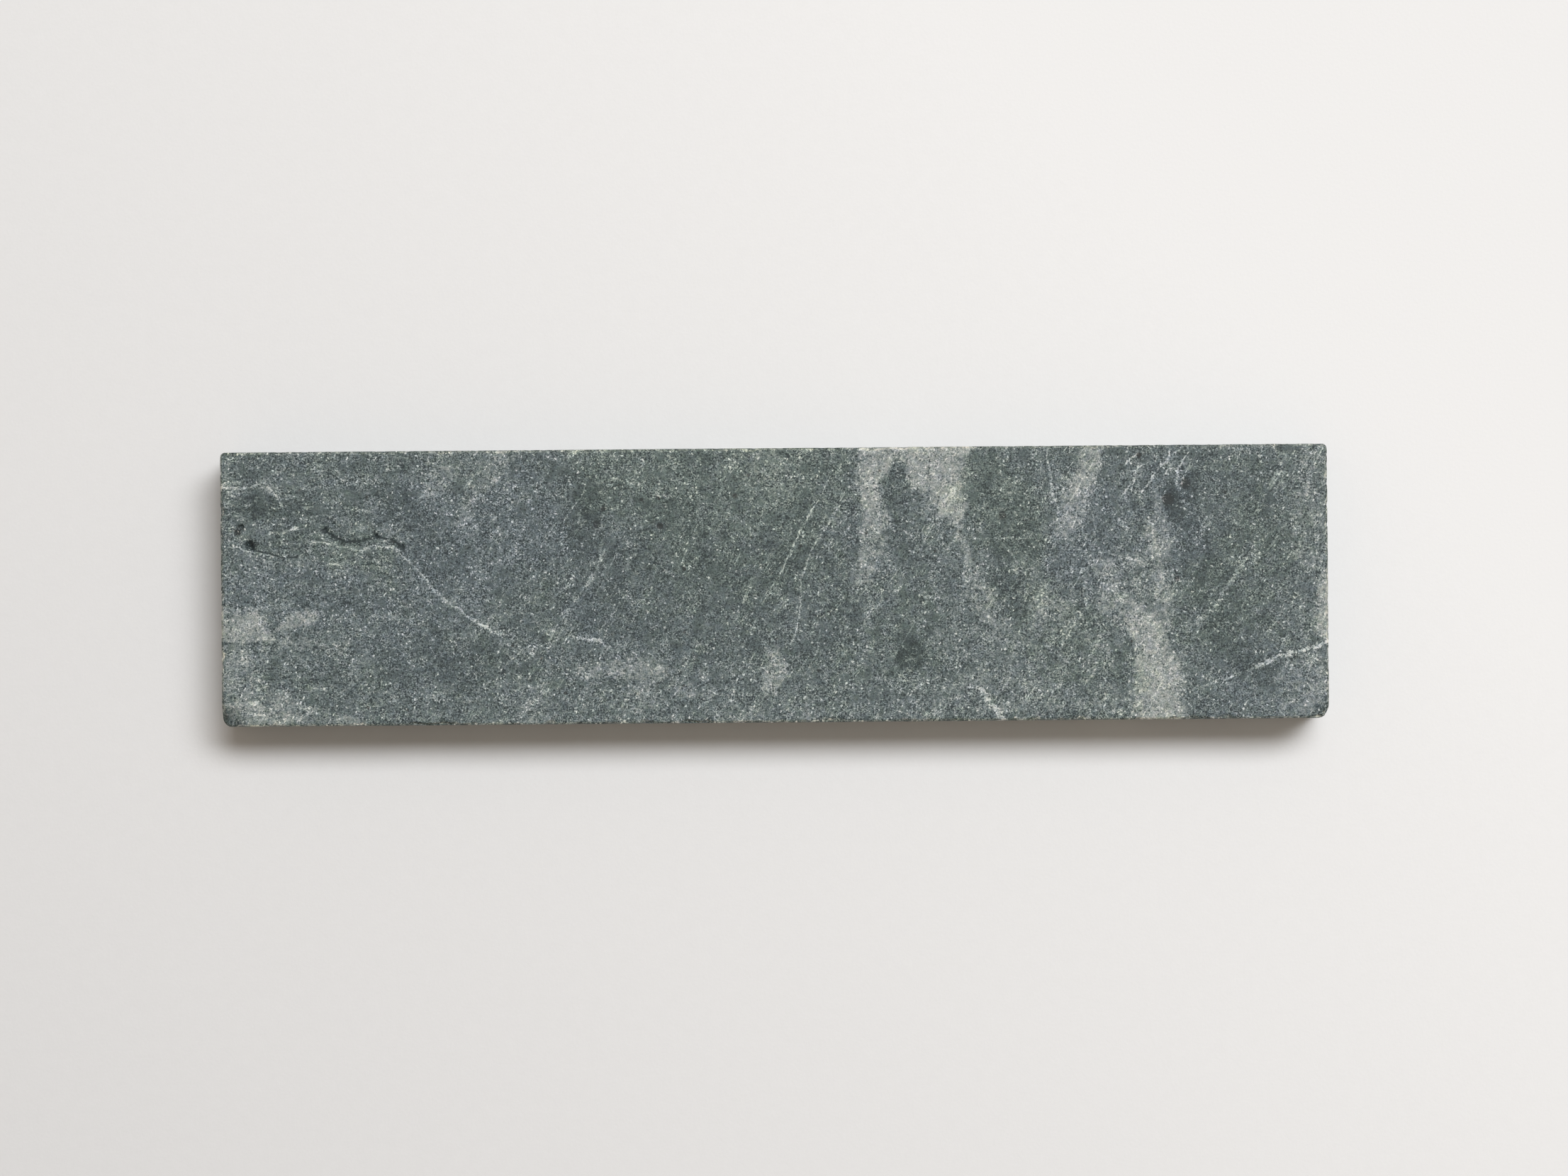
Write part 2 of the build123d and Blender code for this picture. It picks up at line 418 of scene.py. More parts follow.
# Open ground: points along a crack or a sunken strip, with the half width and depth there.
FISSURES = (
    ((-81.9, 10.8, 0.2, 0.10), (-81.0, 10.6, 0.4, 0.35), (-79.3, 9.4, 0.2, 0.15), (-77.3, 8.6, 0.2, 0.2),
     (-75.0, 8.5, 0.2, 0.15), (-72.9, 9.0, 0.2, 0.2), (-71.9, 9.5, 0.4, 0.35), (-70.4, 9.1, 0.25, 0.2),
     (-69.1, 8.9, 0.35, 0.3), (-67.6, 7.8, 0.3, 0.25), (-66.9, 6.6, 0.2, 0.1)),
    ((-81.6, 10.1, 0.5, 0.08), (-80.6, 9.2, 0.6, 0.12), (-78.8, 8.5, 0.6, 0.12), (-77.0, 8.1, 0.55, 0.12),
     (-75.3, 7.9, 0.5, 0.10), (-74.0, 8.1, 0.4, 0.08), (-72.7, 8.6, 0.5, 0.10), (-71.4, 8.6, 0.6, 0.12),
     (-69.9, 8.3, 0.55, 0.12), (-68.6, 7.9, 0.5, 0.10), (-67.4, 6.5, 0.35, 0.06)),
    ((-94.3, 7.6, 0.4, 0.2), (-93.4, 7.1, 0.2, 0.12), (-91.1, 6.5, 0.15, 0.1), (-88.6, 5.9, 0.12, 0.05)),
)

# Small pits: centre, radius and depth.
PITS = (
    (-96.2, 11.3, 0.6, 0.7), (-96.9, 10.2, 0.8, 0.8), (-96.1, 10.6, 0.6, 0.6), (-94.5, 8.0, 0.9, 0.8),
    (-87.1, 12.3, 0.5, 0.25), (-79.6, 11.7, 0.5, 0.25), (-81.1, 10.6, 0.65, 0.6), (-72.0, 9.6, 0.7, 0.6),
    (-67.4, 7.4, 0.6, 0.55), (-77.0, 8.9, 0.4, 0.25),
    (-20.6, 10.9, 0.5, 0.12), (-31.0, 14.1, 0.35, 0.1), (71.2, 15.0, 0.7, 0.08),
)

# Dark mineral spots on the sharpening face, and painted shade in three deep pits: centre, radius and
# strength.
SPOTS = (
    (71.2, 15.0, 1.35, 0.9), (72.8, 0.6, 0.6, 0.7), (74.3, 17.8, 1.15, 0.6), (-20.6, 10.9, 0.7, 1.0),
    (-23.9, 15.7, 0.4, 1.0), (-7.0, 16.2, 0.6, 0.6), (-4.6, 19.9, 0.5, 0.6), (-30.8, 14.0, 0.6, 0.8),
    (-32.0, 11.3, 0.8, 0.5), (-16.3, 3.1, 0.5, 0.9), (41.2, 12.3, 0.9, 0.5), (66.0, 23.0, 0.6, 1.0),
    # Painted shade in the three deep pits at the left end.
    (-96.9, 10.4, 0.8, 0.8), (-96.3, 11.3, 0.7, 0.7), (-94.5, 8.0, 1.0, 0.8),
)


STROKE_FADE = 1.6      # how many radii from its line a stroke has faded out
VEIN_REACH = 1.6       # how far from its line a vein is known, in millimetres
VEIN_TAPER = 6         # how fast a vein grows from its ends towards its middle
VEIN_TIP = 0.25        # and what it grows from


def smooth(share):
    """Eases the share in and out between 0 and 1, and holds it outside."""
    share = np.clip(share, 0, 1)
    return share * share * (3 - 2 * share)


def along(points, start, end):
    """Per point: its distance to the segment, how far along it lies from 0 to 1, and its side, -1 or 1."""
    run = end - start
    offset = points - start
    share = np.clip(offset @ run / (run @ run), 0, 1)
    gap = offset - share[:, None] * run
    side = np.sign(run[0] * offset[:, 1] - run[1] * offset[:, 0])
    return np.hypot(gap[:, 0], gap[:, 1]), share, side


def strokes(points, lines):
    """How strongly soft-edged lines of (x, y, radius) cover each point, from 0 to 1."""
    bare = np.ones(len(points))
    for line, strength in lines:
        cover = np.zeros(len(points))
        for first, second in zip(line, line[1:]):
            distance, share, _ = along(points, np.array(first[:2], float), np.array(second[:2], float))
            radius = first[2] + (second[2] - first[2]) * share
            cover = np.maximum(cover, smooth(STROKE_FADE - distance / radius))
        bare *= 1 - strength * cover
    return 1 - bare


def vein_field(points, veins):
    """Per point: signed distance to the nearest vein, its half width, and its strength there."""
    nearest = np.full(len(points), np.inf)
    field = np.zeros((len(points), 3))
    for line, half_width, strength in veins:
        line = np.array(line, float)
        for number, (start, end) in enumerate(zip(line, line[1:])):
            distance, share, side = along(points, start, end)
            closer = distance < nearest
            whole = (number + share) / (len(line) - 1)
            fade = smooth((1 - np.abs(2 * whole - 1)) * VEIN_TAPER + VEIN_TIP) * (distance < VEIN_REACH)
            values = np.stack((side * distance, np.full_like(distance, half_width), strength * fade), -1)
            field[closer] = values[closer]
            nearest[closer] = distance[closer]
    return field


# ---------------------------------------------------------------- the stone's shape

# Plan radius of each rubbed corner, by the side of X and of Y that it is on, and how far
# the sharpening face has been dubbed away there: reach and depth.
CORNERS = {
    (-1, 1): (0.8, 2.2, 0.15),
    (1, 1): (1.0, 2.6, 0.15),
    (-1, -1): (1.5, 5.0, 1.8),
    (1, -1): (2.0, 4.5, 0.6),
}
DUB_DEPTH = 3.0             # how far down the walls the dubbing of a corner is felt
ARRIS = 0.55
ARRIS_UNEVENNESS = 0.2
UNEVEN_LENGTH = 2.2         # along how much of an arris its radius changes
WORN_BAND = 2.5             # how far from an arris its wear can reach
CHIP_LENGTH = 1.5
CHIP_REACH = 1.2            # how far from the arris a chip bites
CHIP_FADE = 1.05            # how many reaches from the arris it has ended
CHIP_START = 0.12           # how strong the noise is where chips begin
CHIP_DEPTH = 0.8            # depth into the walls, for one unit of noise above that
CHIP_LIMIT = 0.5            # the most noise above that
CHIP_SLOPE = 0.7            # depth into the faces for each millimetre into the walls
BRUISE_REACH = 0.45         # how far from the arris the stone is bruised, and tinted with painted warm bounce light
BRUISE_FADE = 1.3

# The mesh's lattice steps: small at the arrises and over the open ground, larger elsewhere.
EDGE_STEP = 0.2
RIM_STEP = 0.4
FACE_STEP = 0.68
WALL_STEP = 1.0
OPEN_STEPS = (0.36, 0.3)    # along X and along Y
EDGE_BAND = 0.8             # how far in from an edge the edge step holds
RIM_BAND = 2.4              # and the rim step
OPEN_END_X = -66            # the open ground runs from the left end to here
OPEN_BAND_Y = (5.2, 12.4)   # and between these


def graded(*stops):
    """Positions through the stops, given as position and spacing from there on."""
    positions = [stops[0][0]]
    for (start, spacing), (end, _) in zip(stops, stops[1:]):
        count = max(1, round((end - start) / spacing))
        positions += [start + (end - start) * (step + 1) / count for step in range(count)]
    return np.array(positions)


def lattice():
    """Where the mesh's lattice lines lie along X, Y and Z."""
    far_x = ((HALF_LENGTH - RIM_BAND, RIM_STEP), (HALF_LENGTH - EDGE_BAND, EDGE_STEP), (HALF_LENGTH, 0))
    far_y = ((HALF_WIDTH - RIM_BAND, RIM_STEP), (HALF_WIDTH - EDGE_BAND, EDGE_STEP), (HALF_WIDTH, 0))
    xs = graded((-HALF_LENGTH, EDGE_STEP), (-HALF_LENGTH + EDGE_BAND, OPEN_STEPS[0]),
                (OPEN_END_X, FACE_STEP), *far_x)
    ys = graded((-HALF_WIDTH, EDGE_STEP), (-HALF_WIDTH + EDGE_BAND, RIM_STEP),
                (-HALF_WIDTH + RIM_BAND, FACE_STEP), (OPEN_BAND_Y[0], OPEN_STEPS[1]),
                (OPEN_BAND_Y[1], FACE_STEP), *far_y)
    zs = graded((0, EDGE_STEP), (EDGE_BAND, WALL_STEP), (TOP - EDGE_BAND, EDGE_STEP), (TOP, 0))
    return xs, ys, zs


def box_shell(xs, ys, zs):
    """Points and quads of a box's surface, with lattice lines at xs, ys and zs."""
    shell = np.ones((len(xs), len(ys), len(zs)), bool)
    shell[1:-1, 1:-1, 1:-1] = False
    ids = np.full(shell.shape, -1)
    ids[shell] = np.arange(shell.sum())
    points = np.stack(np.meshgrid(xs, ys, zs, indexing="ij"), -1)[shell]
    sheets = (ids[:, :, -1], ids[:, ::-1, 0], ids[:, 0], ids[::-1, -1], ids[-1], ids[0, ::-1])
    quads = [np.stack((s[:-1, :-1], s[1:, :-1], s[1:, 1:], s[:-1, 1:]), -1).reshape(-1, 4) for s in sheets]
    return points, np.concatenate(quads)


NOISE_DIMENSION = 0.9
NOISE_LACUNARITY = 2.0


def turbulence(points, scale, octaves, seed):
    """Fractal noise about zero at each point, with features of about the scale in millimetres."""
    shift = Vector((seed, seed * 1.7, seed * 2.3))
    places = (Vector(point) / scale + shift for point in points)
    return np.array([noise.fractal(place, NOISE_DIMENSION, NOISE_LACUNARITY, octaves) for place in places])


def round_plan(points):
    """Rounds the four plan corners. Returns each point's depth in from the outline and the way out."""
    reach = np.array((HALF_LENGTH, HALF_WIDTH))
    side = np.where(points[:, :2] < 0, -1, 1)
    gaps = reach - np.abs(points[:, :2])
    inset = gaps.min(1)
    outward = np.zeros((len(points), 2))
    across = gaps[:, 0] < gaps[:, 1]
    outward[across, 0] = side[across, 0]
    outward[~across, 1] = side[~across, 1]
    for corner, (radius, _, _) in CORNERS.items():
        part = 1 - gaps / radius
        here = (side == corner).all(1) & (part > 1e-9).all(1)
        ways = part[here] / np.linalg.norm(part[here], axis=1)[:, None]
        shells = part[here].max(1)
        points[here, :2] = (reach - radius + radius * shells[:, None] * ways) * corner
        inset[here] = radius * (1 - shells)
        outward[here] = ways * corner
    return inset, outward


def round_arris(points, inset, outward, depth, radii, sign):
    """Rounds the edge between the walls and one face: sign is 1 at the top face and -1 at the bottom."""
    near = (inset < radii) & (depth < radii)
    out = 1 - inset[near] / radii[near]
    up = 1 - depth[near] / radii[near]
    length = np.hypot(out, up)
    new_inset = radii[near] * (1 - out / length)
    new_depth = radii[near] * (1 - up / length)
    points[near, :2] -= outward[near] * (new_inset - inset[near])[:, None]
    points[near, 2] -= sign * (new_depth - depth[near])


def wear_arrises(points, flat, inset, outward, depth):
    """Rounds and chips the arrises. Returns how near each point is to one, from 0 to 1."""
    edge = (inset < WORN_BAND) & ((depth < WORN_BAND) | (depth > TOP - WORN_BAND))
    wander = np.zeros(len(points))
    wander[edge] = turbulence(flat[edge], UNEVEN_LENGTH, 3, seed=3.0)
    radii = ARRIS + ARRIS_UNEVENNESS * np.clip(wander, -1, 1)
    round_arris(points, inset, outward, depth, radii, 1)
    round_arris(points, inset, outward, TOP - depth, radii, -1)

    from_arris = np.maximum(inset, np.minimum(depth, TOP - depth))
    bite = np.zeros(len(points))
    bite[edge] = turbulence(flat[edge], CHIP_LENGTH, 2, seed=11.0) - CHIP_START
    bite = np.clip(bite, 0, CHIP_LIMIT) * CHIP_DEPTH * smooth(CHIP_FADE - from_arris / CHIP_REACH)
    points[:, :2] -= outward * bite[:, None]
    points[:, 2] -= np.where(depth < TOP / 2, CHIP_SLOPE, -CHIP_SLOPE) * bite
    return smooth(BRUISE_FADE - from_arris / BRUISE_REACH)


def dub_corners(points, flat, depth):
    """Rubs the corners of the sharpening face down."""
    for corner, (_, reach, drop) in CORNERS.items():
        tip = np.array((HALF_LENGTH, HALF_WIDTH)) * corner
        distance = np.hypot(*(flat[:, :2] - tip).T)
        points[:, 2] -= drop * smooth(1 - distance / reach) * smooth(1 - depth / DUB_DEPTH)


OPEN_FADE = 1.3               # how many half widths or radii away open ground has ended
RAGGED_LENGTH = 1.1           # what noise makes its depth ragged: its size, its middle and its gain
RAGGED_MIDDLE = 0.8
RAGGED_GAIN = 2.2
RAGGED_LIMITS = (0.05, 1.5)


def open_ground(points):
    """How deep the fissures and the pits are at each point of the sharpening face."""
    depth = np.zeros(len(points))
    for line in FISSURES:
        for first, second in zip(line, line[1:]):
            first, second = np.array(first), np.array(second)
            distance, share, _ = along(points, first[:2], second[:2])
            half_width, deepest = (first[2:] + (second[2:] - first[2:]) * share[:, None]).T
            depth = np.maximum(depth, deepest * smooth(OPEN_FADE - distance / half_width))
    for x, y, radius, deepest in PITS:
        distance = np.hypot(points[:, 0] - x, points[:, 1] - y)
        depth = np.maximum(depth, deepest * smooth(OPEN_FADE - distance / radius))
    sunk = depth > 0
    ragged = turbulence(np.pad(points[sunk], ((0, 0), (0, 1))), RAGGED_LENGTH, 3, seed=31.0)
    depth[sunk] *= np.clip(RAGGED_MIDDLE + RAGGED_GAIN * ragged, *RAGGED_LIMITS)
    return depth


# How far the figure shifts sideways for each millimetre down, since its beds dip.
DIP = np.array((0.75, 0.55))
DRIFT = 0.4            # how far the shift strays from that, for each millimetre down
DRIFT_DEPTH = 3.0      # the depth from which it strays no further
DRIFT_LENGTH = 9.0     # the size of the noise that it strays by
FRAY_LENGTH = 3.4      # the size of the noise that pulls the figure's outlines about
CLOUD_FRAY = 0.9       # how far it pulls the clouds and zones, in millimetres
VEIN_WAVER = 0.25      # and the veins
SAWN_FROM = 0.4        # the depth at which honed stone starts to turn into sawn stone
SAWN_BLEND = 0.6       # and how far down it has done so
ON_TOP = 1e-6          # what counts as the sharpening face


def build_stone():
    """The slab as one closed mesh, with its figure stored on its points."""
    points, quads = box_shell(*lattice())
    flat = points.copy()
    inset, outward = round_plan(points)
    depth = TOP - points[:, 2]
    near_arris = wear_arrises(points, flat, inset, outward, depth)
    dub_corners(points, flat, depth)
    fray = np.stack([turbulence(flat, FRAY_LENGTH, 4, seed) for seed in (21.0, 22.0)], -1)
    hollow = np.where(depth < ON_TOP, open_ground(flat[:, :2] + VEIN_WAVER * fray), 0)
    points[:, 2] -= hollow

    mesh = bpy.data.meshes.new("whetstone_body")
    mesh.from_pydata((points * MM).tolist(), [], quads.tolist())
    mesh.polygons.foreach_set("use_smooth", np.ones(len(mesh.polygons), bool))
    store(mesh, "hollow", hollow)
    store(mesh, "near_arris", near_arris)
    store(mesh, "sawn", smooth((depth - SAWN_FROM) / SAWN_BLEND))
    store_figure(mesh, flat, fray, depth)
    stone = bpy.data.objects.new("whetstone_body", mesh)
    bpy.context.scene.collection.objects.link(stone)
    return stone


def store_figure(mesh, flat, fray, depth):
    """Keeps the figure on the mesh's points, carried down through the slab along its dip."""
    drift = np.stack([turbulence(flat, DRIFT_LENGTH, 2, seed) for seed in (1.0, 2.0)], -1)
    figure = flat[:, :2] + DIP * depth[:, None] + drift * np.minimum(depth, DRIFT_DEPTH)[:, None] * DRIFT
    frayed = figure + CLOUD_FRAY * fray
    store(mesh, "cloud", strokes(frayed, CLOUDS))
    store(mesh, "shade", strokes(frayed, SHADES))
    store(mesh, "tint", strokes(frayed, GREENS) - strokes(frayed, BLUES))
    waver = figure + VEIN_WAVER * fray
    for number, veins in enumerate(VEINS):
        store(mesh, f"veins_{number}", vein_field(waver, veins))


def store(mesh, name, values):
    """Keeps one number or one vector for each point of the mesh."""
    kind, key = ("FLOAT_VECTOR", "vector") if values.ndim == 2 else ("FLOAT", "value")
    attribute = mesh.attributes.new(name, kind, "POINT")
    attribute.data.foreach_set(key, np.ascontiguousarray(values, np.float32).ravel())


# ---------------------------------------------------------------- the stone's material

# The stone's colour by its tone, which runs from 0, the darkest grain, to 1, the whitest.
TONES = (
    (0.0, colour(37, 48, 49.5)),
    (0.25, colour(86.5, 98.5, 98.5)),
    (0.5, colour(127, 137, 136)),
    (0.75, colour(169.5, 177, 174.5)),
    (1.0, colour(211, 216, 212.5)),
)
MATRIX_TONE = 0.237
DUST_TONE = 0.42            # what saw dust draws the walls towards
GRAIN_RELIEF = 0.03         # in millimetres, for one unit of noise
SCORE_RELIEF = 0.07

# What multiplies the colour in some places.
GREENER = (0.98, 1.01, 0.93, 1)
BLUER = (0.99, 0.99, 1.05, 1)
CLOUD_WARMTH = (1.03, 0.99, 0.965, 1)
SPOT_WARMTH = (1.15, 0.95, 0.88, 1)
# Painted warm bounce light along the arrises.
WARM_BOUNCE_TINT = (1.05, 1.0, 0.92, 1)
GRAIN_HUES = (0.36, 0.0, 0.38)      # how much the red and the blue of single grains stray

# The bedding is level left of the first of these places and steep right of the second.
BEDDING_TURNS = (-68, -48)

# Fibres: bumps of noise per millimetre, how far from zero the noise still draws them, and how pale.
FIBRES = ((0.22, 0.0050, 0.46), (0.36, 0.0065, 0.40), (0.6, 0.009, 0.28))


class StoneNodes(Nodes):
    """Draws fine-grained stone, laying one thing after another over its tone. Sizes are in millimetres."""

    def __init__(self, tree):
        super().__init__(tree)
        self.place = self.scale(self.add("ShaderNodeTexCoord").outputs["Object"], 1 / MM)
        self.wobbled = self.vector("ADD", self.place, self.scale(self.jitter(self.place, 3.0, 2.0, 0.6), 0.4))
        along_x, _, self.upward = self.add("ShaderNodeSeparateXYZ", {0: self.place}).outputs
        self.steep = self.ramp(along_x, *BEDDING_TURNS)
        self.finest = self.sway(self.place, 3.6, 1.5)
        self.fine = self.sway(self.place, 1.7, 2.0)
        self.medium = self.sway(self.place, 0.7, 1.0)
        self.broad = self.sway(self.place, 0.2, 2.0)
        self.shade = self.attribute("shade")
        self.sawn = self.attribute("sawn")
        self.near_arris = self.attribute("near_arris")
        self.cloudy = self.cloudiness()
        self.clear = self.clearness()
        self.tone = MATRIX_TONE

    def attribute(self, name, output="Fac"):
        return self.add("ShaderNodeAttribute", attribute_name=name).outputs[output]

    def bedded(self, angle, stretch):
        """Places squeezed along one direction of the face, so that what is drawn there is long that way."""
        inputs = {"Vector": self.wobbled, "Angle": -math.radians(angle)}
        turned = self.add("ShaderNodeVectorRotate", inputs, rotation_type="Z_AXIS").outputs[0]
        return self.vector("MULTIPLY", turned, (1 / stretch, 1.0, 1.0))

    def grains(self, where, scale, share, smallest, largest):
        """Scattered grains: how bright each is, from 0 to 1."""
        cells = self.add("ShaderNodeTexVoronoi", {"Vector": where, "Scale": scale})
        chance = self.add("ShaderNodeSeparateColor", {0: cells.outputs["Color"]})
        radius = self.ramp(chance.outputs[1], 0, 1, smallest * scale, largest * scale, smooth=False)
        body = self.ramp(self.math("DIVIDE", cells.outputs["Distance"], radius), 0.5, 1.1, 1.0, 0.0)
        chosen = self.math("LESS_THAN", chance.outputs[0], share)
        glow = self.ramp(chance.outputs[2], 0, 1, 0.3, 1.0, smooth=False)
        return self.product(self.product(body, chosen), glow)

    def hairlines(self, sway, core, width):
        """Curling lines where the noise passes through zero: full inside the core, gone at the width."""
        return self.ramp(self.math("ABSOLUTE", sway), core, width, 1.0, 0.0)

    def cloudiness(self):
        """How far each place belongs to a pale cloud: milky, with a grainy edge."""
        cloud = self.attribute("cloud")
        cloudy = self.added(self.added(cloud, self.medium, 0.75), self.fine, 0.5)
        cloudy = self.added(cloudy, self.finest, 0.2)
        cloudy = self.added(cloudy, self.sway(self.bedded(66, 2.4), 0.4, 3.0, 0.6), 0.9)
        return self.product(self.ramp(cloudy, 0.0, 1.08), self.ramp(cloud, 0.0, 0.4))

    def clearness(self):
        """How far each place is dark clear stone that pale grains are missing from."""
        clear = self.math("MAXIMUM", self.ramp(self.sway(self.wobbled, 0.36, 2.0), 0.07, 0.15), self.shade)
        return self.product(clear, self.ramp(self.cloudy, 0.0, 0.3, 1.0, 0.0))

    def lay(self, value, gain):
        """Brightens the tone by the value times the gain."""
        self.tone = self.added(self.tone, value, gain)

    def lay_matrix(self):
        """The ground mass, livelier in some places than in others, with streaks along the bedding."""
        lively = self.ramp(self.sway(self.place, 0.33, 3.0, 0.6), -0.12, 0.12, 0.6, 1.3)
        lively = self.product(lively, self.ramp(self.clear, 0, 1, 1.0, 0.42, smooth=False))
        lively = self.product(lively, self.ramp(self.cloudy, 0, 1, 1.0, 0.75, smooth=False))
        level_streaks = self.sway(self.bedded(5, 5.0), 0.9, 3.0, 0.6)
        steep_streaks = self.sway(self.bedded(58, 4.0), 0.9, 3.0, 0.6)
        streaks = self.add("ShaderNodeMix", {0: self.steep, 2: level_streaks, 3: steep_streaks}).outputs[0]
        self.lay(self.broad, 0.14)
        self.lay(self.medium, 0.20)
        self.lay(streaks, 0.26)
        self.lay(self.product(self.fine, lively), 0.60)
        self.lay(self.product(self.finest, lively), 1.4)
        self.lay(self.clear, -0.045)
        self.lay(self.shade, -0.11)
        self.lay(self.cloudy, 0.31)

    def lay_grains(self):
        """Pale grains, first the large ones, then two sets of slivers, then the small; last the dark."""
        crowded = self.ramp(self.sway(self.place, 0.23, 4.0, 0.65), -0.10, 0.12)
        share = self.added(0.10, crowded, 0.34)
        share = self.added(self.added(share, self.cloudy, -0.04), self.clear, -0.12)
        self.lay(self.grains(self.wobbled, 1.35, share, 0.12, 0.28), 1.15)
        self.lay(self.grains(self.bedded(60, 2.6), 2.0, share, 0.08, 0.17), 0.70)
        self.lay(self.grains(self.bedded(-25, 2.6), 2.0, share, 0.08, 0.17), 0.62)
        self.lay(self.grains(self.wobbled, 2.7, self.product(share, 1.5), 0.08, 0.17), 0.38)
        self.lay(self.grains(self.wobbled, 1.9, self.added(0.35, crowded, 0.3), 0.12, 0.26), -0.38)

    def lay_fibres(self):
        """Broken hairlines that curl about everywhere."""
        for scale, width, gain in FIBRES:
            line = self.hairlines(self.sway(self.place, scale, 3.0, 0.6), width * 0.4, width)
            broken = self.ramp(self.sway(self.place, scale * 1.3, 2.0, 0.6), -0.02, 0.08)
            self.lay(self.product(line, broken), gain)

    def lay_bedding(self):
        """Hairlines that follow the bedding."""
        level = self.math("SUBTRACT", 1.0, self.steep)
        kinds = (
            (self.bedded(60, 12.0), self.steep, 0.35, 0.010),
            (self.bedded(52, 12.0), self.steep, 0.6, 0.012),
            (self.bedded(4, 8.0), level, 0.5, 0.014),
        )
        for where, zone, scale, width in kinds:
            line = self.hairlines(self.sway(where, scale), width * 0.3, width)
            broken = self.product(self.ramp(self.sway(self.place, 0.3, 3.0, 0.7), 0.0, 0.10), zone)
            self.lay(self.product(line, broken), 0.32)

    def lay_veins(self):
        """The named veins and cracks, ragged, of uneven width and patchy."""
        for number in range(len(VEINS)):
            field = self.add("ShaderNodeSeparateXYZ", {0: self.attribute(f"veins_{number}", "Vector")})
            distance, half_width, strength = field.outputs
            distance = self.added(distance, self.sway(self.place, 1.6, 3.0, 0.75), 1.0)
            uneven = self.ramp(self.sway(self.place, 0.9, 3.0, 0.8), -0.15, 0.15, 0.4, 1.7)
            across = self.math("DIVIDE", self.math("ABSOLUTE", distance), self.product(half_width, uneven))
            patchy = self.ramp(self.sway(self.place, 1.5, 3.0, 0.7), -0.14, 0.08, 0.35, 1.2)
            line = self.product(self.ramp(across, 0.35, 1.3, 1.0, 0.0), patchy)
            self.lay(self.product(line, strength), 0.50)

    def lay_spots(self):
        """Dark mineral spots, with painted shade in some pits, and painted shade inside open ground. Returns
        the spots.
        """
        spots = self.grains(self.wobbled, 0.42, 0.3, 0.18, 0.42)
        for x, y, radius, strength in SPOTS:
            distance = self.measure("DISTANCE", self.wobbled, (x, y, TOP))
            spots = self.math("MAXIMUM", spots, self.ramp(distance, radius * 0.5, radius, strength, 0.0))
        self.lay(spots, -0.36)
        # Painted shade inside the fissures and pits, where the open ground is sunk.
        painted_recess_shade = self.product(self.attribute("hollow"), self.ramp(self.fine, -0.15, 0.15, 1.9, 0.2))
        self.lay(self.ramp(painted_recess_shade, 0.05, 0.45), -0.38)
        return spots

    def lay_saw_marks(self):
        """Off the sharpening face the stone is as the saw left it: dusty and finely scored.

        The scores lean over on the walls and run lengthwise underneath. Returns the scores.
        """
        in_plan = self.vector("MULTIPLY", self.place, (1.0, 1.0, 0.0))
        height = self.upward
        leaning = self.add("ShaderNodeCombineXYZ", {0: height, 1: height, 2: height}).outputs[0]
        leaning = self.vector("MULTIPLY_ADD", leaning, (0.3, 0.3, 0.06), in_plan)
        lengthwise = self.vector("MULTIPLY", self.place, (0.05, 1.0, 1.0))
        inputs = {0: self.ramp(self.upward, 0.1, 0.5, 1.0, 0.0), 4: leaning, 5: lengthwise}
        scored = self.add("ShaderNodeMix", inputs, data_type="VECTOR").outputs[1]
        scores = self.product(self.sway(scored, 1.5, 3.0, 0.7), self.sawn)
        self.lay(scores, 0.8)
        self.lay(self.product(self.math("SUBTRACT", DUST_TONE, self.tone), self.sawn), 0.35)
        return scores

    def lay_bruises(self):
        """Handling has bruised the arrises, which leaves them milky."""
        bruised = self.ramp(self.added(self.medium, self.fine, 0.8), -0.05, 0.2)
        self.lay(self.product(bruised, self.near_arris), 0.20)
        self.lay(self.near_arris, 0.05)

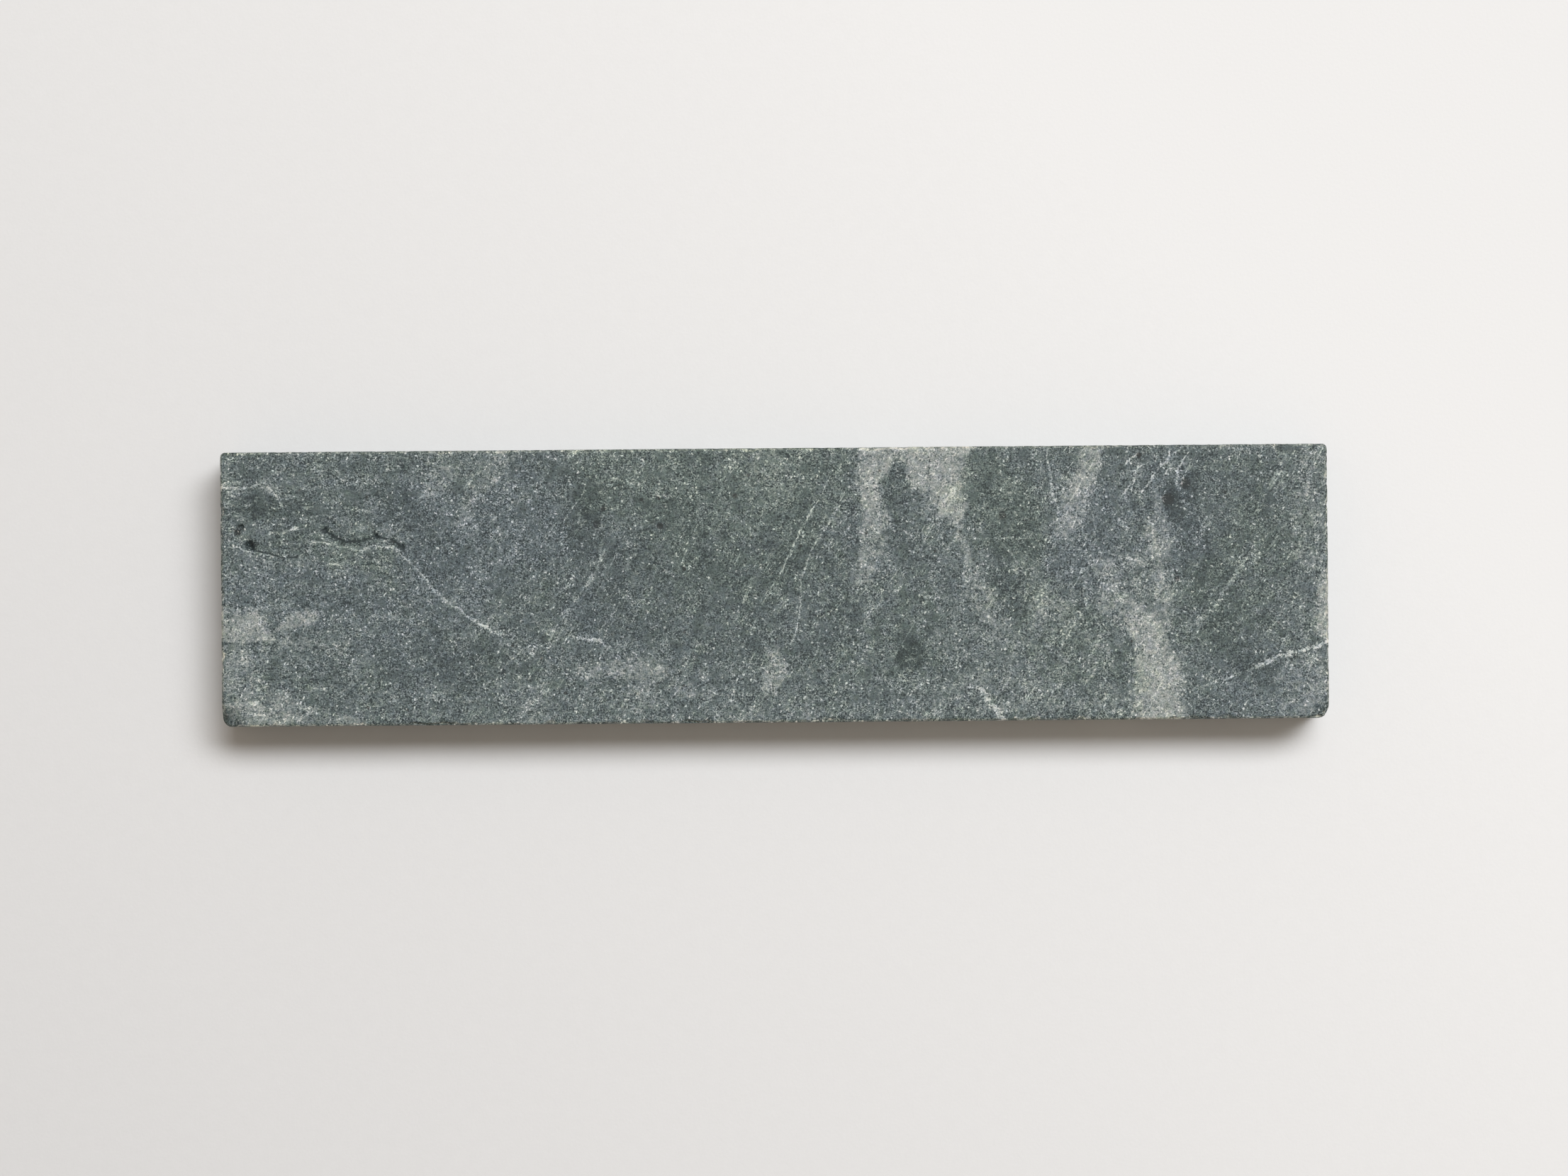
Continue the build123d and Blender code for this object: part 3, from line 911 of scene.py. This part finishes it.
    def coloured(self, spots):
        """The tone turned into colour, with its leanings."""
        ramp = self.add("ShaderNodeValToRGB", {0: self.tone})
        for number, (position, stop_colour) in enumerate(TONES):
            stop = ramp.color_ramp.elements[number] if number < 2 else ramp.color_ramp.elements.new(position)
            stop.position = position
            stop.color = stop_colour
        lean = self.added(self.attribute("tint"), self.sway(self.place, 0.3, 5.0, 0.75), 5.0)
        lean = self.added(lean, self.clear, 0.4)
        leanings = (
            (self.ramp(lean, 0, 1), GREENER),
            (self.ramp(lean, 0, -1), BLUER),
            (self.cloudy, CLOUD_WARMTH),
            (spots, SPOT_WARMTH),
            # painted warm bounce light along the arrises
            (self.near_arris, WARM_BOUNCE_TINT),
        )
        shown = ramp.outputs[0]
        for share, leaning in leanings:
            shown = self.mix_colour(share, shown, leaning, "MULTIPLY")
        hue = self.vector("MULTIPLY_ADD", self.jitter(self.place, 1.0, 4.0, 0.8), GRAIN_HUES, (1.0, 1.0, 1.0))
        return self.vector("MULTIPLY", shown, hue)


def stone_material():
    """Honed on the sharpening face, sawn elsewhere."""
    material = bpy.data.materials.new("honed_stone")
    material.use_nodes = True
    nodes = StoneNodes(material.node_tree)
    nodes.lay_matrix()
    nodes.lay_grains()
    nodes.lay_fibres()
    nodes.lay_bedding()
    nodes.lay_veins()
    spots = nodes.lay_spots()
    scores = nodes.lay_saw_marks()
    nodes.lay_bruises()
    rough = nodes.added(nodes.ramp(nodes.tone, 0.2, 0.8, 0.66, 0.5), nodes.sawn, 0.12)
    height = nodes.added(nodes.product(nodes.finest, GRAIN_RELIEF), scores, SCORE_RELIEF)
    bump = nodes.add("ShaderNodeBump", {"Height": height, "Distance": MM, "Strength": 1.0})
    look = {"Base Color": nodes.coloured(spots), "Roughness": rough, "Normal": bump.outputs[0]}
    shader = nodes.add("ShaderNodeBsdfPrincipled", look)
    nodes.add("ShaderNodeOutputMaterial", {"Surface": shader.outputs[0]})
    return material


# ---------------------------------------------------------------- the scene

bpy.context.scene.view_settings.view_transform = "Standard"
add_camera()
set_world()
add_lights()
add_floor()
stone = build_stone()
stone.data.materials.append(stone_material())
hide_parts("whetstone")
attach(stone, "root")
